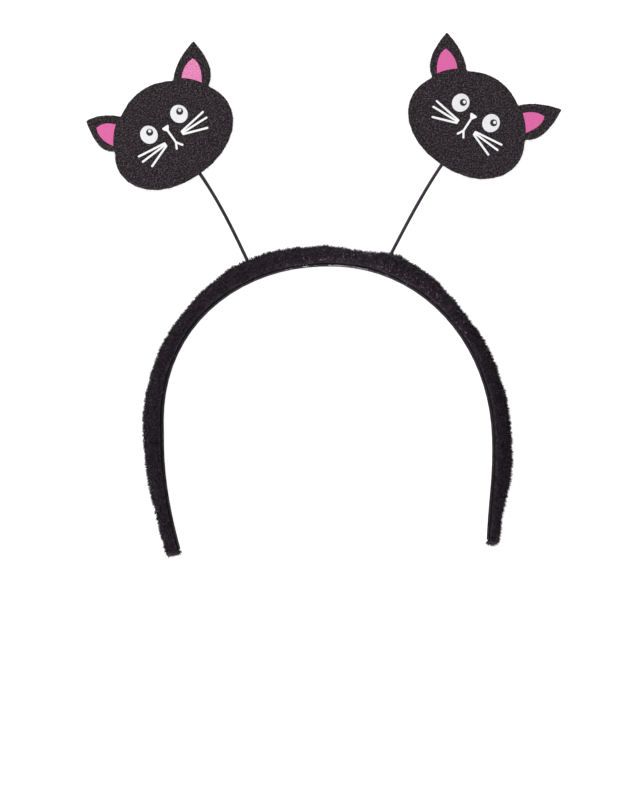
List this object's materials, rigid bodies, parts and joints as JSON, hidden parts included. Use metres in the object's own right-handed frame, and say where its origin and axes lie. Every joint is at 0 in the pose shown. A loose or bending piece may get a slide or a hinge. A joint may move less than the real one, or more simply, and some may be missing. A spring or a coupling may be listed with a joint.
{
  "type": "head bopper headband",
  "caption": "Padded black plush headband carrying charcoal felt cat heads on springy black wires, with printed pink ears, white eyes, nose, mouth and whiskers.",
  "frame": {"origin": "middle of the underside of the whole piece as it lies flat on its back edge", "axes": "+X to the viewer's right, +Y from the band's open ends towards the heads, +Z out of the cat faces"},
  "size_m": [0.2235, 0.2424, 0.014],
  "materials": {
    "plush": "short black fleece pile, matt, with a faint sheen on the tufts",
    "strip": "smooth black plastic, slightly glossy",
    "wire": "spring wire with a smooth black coating",
    "felt": "matt charcoal felt with a fine fibre speckle",
    "white_ink": "white ink printed on the felt",
    "black_ink": "black ink printed on the white",
    "pink_ink": "pink ink printed on the felt"
  },
  "bodies": {
    "root": {"band_core": "strip", "band_cover": "plush", "left_wire": "wire", "left_head_front": "felt", "left_head_back": "felt", "left_head_nose": "white_ink", "left_head_ear_pink_left": "pink_ink", "left_head_eye_left": "white_ink", "left_head_pupil_left": "black_ink", "left_head_glint_left": "white_ink", "left_head_whiskers_left": "white_ink", "left_head_ear_pink_right": "pink_ink", "left_head_eye_right": "white_ink", "left_head_pupil_right": "black_ink", "left_head_glint_right": "white_ink", "left_head_whiskers_right": "white_ink", "right_wire": "wire", "right_head_front": "felt", "right_head_back": "felt", "right_head_nose": "white_ink", "right_head_ear_pink_left": "pink_ink", "right_head_eye_left": "white_ink", "right_head_pupil_left": "black_ink", "right_head_glint_left": "white_ink", "right_head_whiskers_left": "white_ink", "right_head_ear_pink_right": "pink_ink", "right_head_eye_right": "white_ink", "right_head_pupil_right": "black_ink", "right_head_glint_right": "white_ink", "right_head_whiskers_right": "white_ink"}
  },
  "joints": []
}
